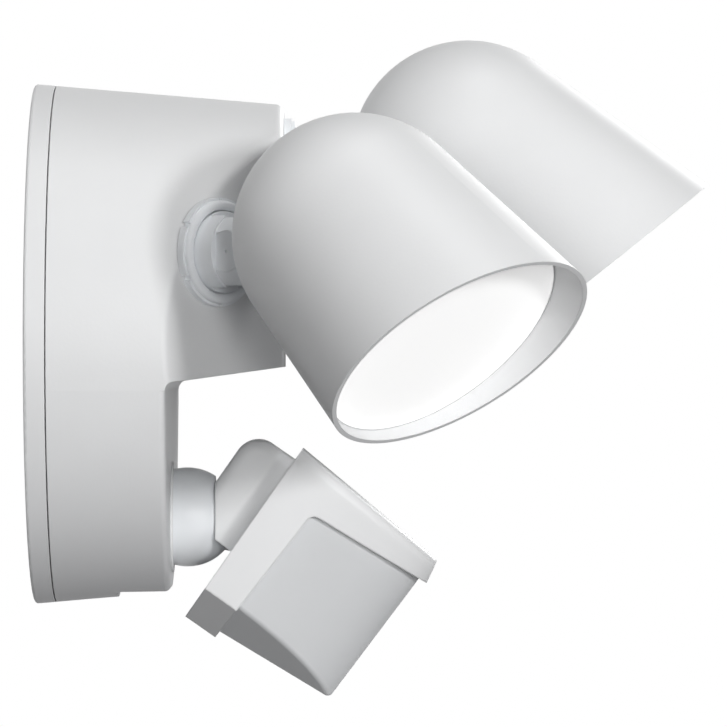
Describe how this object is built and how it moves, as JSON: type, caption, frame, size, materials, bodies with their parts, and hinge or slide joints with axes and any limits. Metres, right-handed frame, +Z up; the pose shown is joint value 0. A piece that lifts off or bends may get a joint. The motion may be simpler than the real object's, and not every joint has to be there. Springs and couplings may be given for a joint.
{
  "type": "motion sensor security light",
  "caption": "White wall-mounted outdoor security light with domed swivelling lamp heads and a hooded motion sensor on a ball joint.",
  "frame": {"origin": "centre of the round back plate, on the wall plane", "axes": "+Z up, front is -Y (out from the wall), +X to the viewer's right when facing the light"},
  "size_m": [0.3577, 0.2264, 0.2206],
  "materials": {
    "painted_white": "satin",
    "lamp_joint_white": "satin",
    "sensor_white": "satin",
    "ball_white": "semi-gloss",
    "frosted_lens": "frosted",
    "fresnel_plastic": "translucent",
    "bright_metal": "bare",
    "reflector_white": "gloss",
    "zinc_steel": "zinc plated",
    "stainless_steel": "plain",
    "ground_green": "coated",
    "seal_rubber": "matt",
    "lamp_seal": "matt",
    "circuit_board": "coated",
    "led_board_white": "coated",
    "component_plastic": "moulded",
    "nylon_dark": "moulded",
    "knob_black": "moulded"
  },
  "bodies": {
    "housing": {"back_plate": "painted_white", "wall_gasket": "seal_rubber", "mounting_crossbar": "zinc_steel", "canopy_screws": "stainless_steel", "ground_screw": "ground_green", "wire_grommet": "seal_rubber", "housing_shell": "painted_white", "housing_screw": "stainless_steel", "driver_board": "circuit_board", "driver_parts": "component_plastic", "board_screws": "stainless_steel", "collar_rings": "lamp_joint_white", "swivel_seals": "seal_rubber", "ball_seat": "sensor_white", "spring_bridge": "nylon_dark", "tension_bolt": "stainless_steel", "tension_spring": "stainless_steel", "tension_nut": "stainless_steel"},
    "sensor_gimbal": {"gimbal_ring": "stainless_steel", "pan_pins": "stainless_steel"},
    "sensor_head": {"tilt_pins": "stainless_steel", "sensor_ball": "ball_white", "sensor_rear_shell": "sensor_white", "sensor_cover": "sensor_white", "fresnel_lens": "fresnel_plastic", "sensor_board": "circuit_board", "infrared_element": "bright_metal", "cover_screws": "stainless_steel"},
    "range_knob": {"range_knob": "knob_black"},
    "time_knob": {"time_knob": "knob_black"},
    "left_swivel": {"left_arm": "lamp_joint_white", "left_swivel_nut": "zinc_steel", "left_hinge_bolt": "stainless_steel", "left_bolt_cap": "lamp_joint_white"},
    "left_head": {"left_shade": "painted_white", "left_heat_sink": "bright_metal", "left_led_board": "led_board_white", "left_reflector": "reflector_white", "left_diffuser": "frosted_lens", "left_lens_seal": "lamp_seal"},
    "middle_swivel": {"middle_arm": "lamp_joint_white", "middle_swivel_nut": "zinc_steel", "middle_hinge_bolt": "stainless_steel", "middle_bolt_cap": "lamp_joint_white"},
    "middle_head": {"middle_shade": "painted_white", "middle_heat_sink": "bright_metal", "middle_led_board": "led_board_white", "middle_reflector": "reflector_white", "middle_diffuser": "frosted_lens", "middle_lens_seal": "lamp_seal"},
    "right_swivel": {"right_arm": "lamp_joint_white", "right_swivel_nut": "zinc_steel", "right_hinge_bolt": "stainless_steel", "right_bolt_cap": "lamp_joint_white"},
    "right_head": {"right_shade": "painted_white", "right_heat_sink": "bright_metal", "right_led_board": "led_board_white", "right_reflector": "reflector_white", "right_diffuser": "frosted_lens", "right_lens_seal": "lamp_seal"}
  },
  "joints": [
    {"name": "left_swivel", "type": "hinge", "parent": "housing", "child": "left_swivel", "pos_m": [-0.0661, -0.06173, 0.0298], "axis": [-0.6691, -0.7431, 0], "range_deg": [-60, 60]},
    {"name": "left_tilt", "type": "hinge", "parent": "left_swivel", "child": "left_head", "pos_m": [-0.07647, -0.07324, 0.0298], "axis": [0.7431, -0.6691, 0], "range_deg": [-45, 35]},
    {"name": "middle_swivel", "type": "hinge", "parent": "housing", "child": "middle_swivel", "pos_m": [0, -0.0837, 0.0582], "axis": [0, -1, 0], "range_deg": [-45, 45]},
    {"name": "middle_tilt", "type": "hinge", "parent": "middle_swivel", "child": "middle_head", "pos_m": [0, -0.0992, 0.0582], "axis": [1, 0, 0], "range_deg": [-45, 35]},
    {"name": "right_swivel", "type": "hinge", "parent": "housing", "child": "right_swivel", "pos_m": [0.0661, -0.06173, 0.0298], "axis": [0.6691, -0.7431, 0], "range_deg": [-60, 60]},
    {"name": "right_tilt", "type": "hinge", "parent": "right_swivel", "child": "right_head", "pos_m": [0.07647, -0.07324, 0.0298], "axis": [0.7431, 0.6691, 0], "range_deg": [-45, 35]},
    {"name": "sensor_pan", "type": "hinge", "parent": "housing", "child": "sensor_gimbal", "pos_m": [0, -0.0512, -0.0583], "axis": [0, 0, 1], "range_deg": [-15, 15]},
    {"name": "sensor_tilt", "type": "hinge", "parent": "sensor_gimbal", "child": "sensor_head", "pos_m": [0, -0.0512, -0.0583], "axis": [1, 0, 0], "range_deg": [-30, 10]},
    {"name": "range_knob_turn", "type": "hinge", "parent": "sensor_head", "child": "range_knob", "pos_m": [-0.0105, -0.05976, -0.07833], "axis": [0, 0.8192, 0.5736], "range_deg": [-135, 135]},
    {"name": "time_knob_turn", "type": "hinge", "parent": "sensor_head", "child": "time_knob", "pos_m": [0.0105, -0.05976, -0.07833], "axis": [0, 0.8192, 0.5736], "range_deg": [-135, 135]}
  ]
}
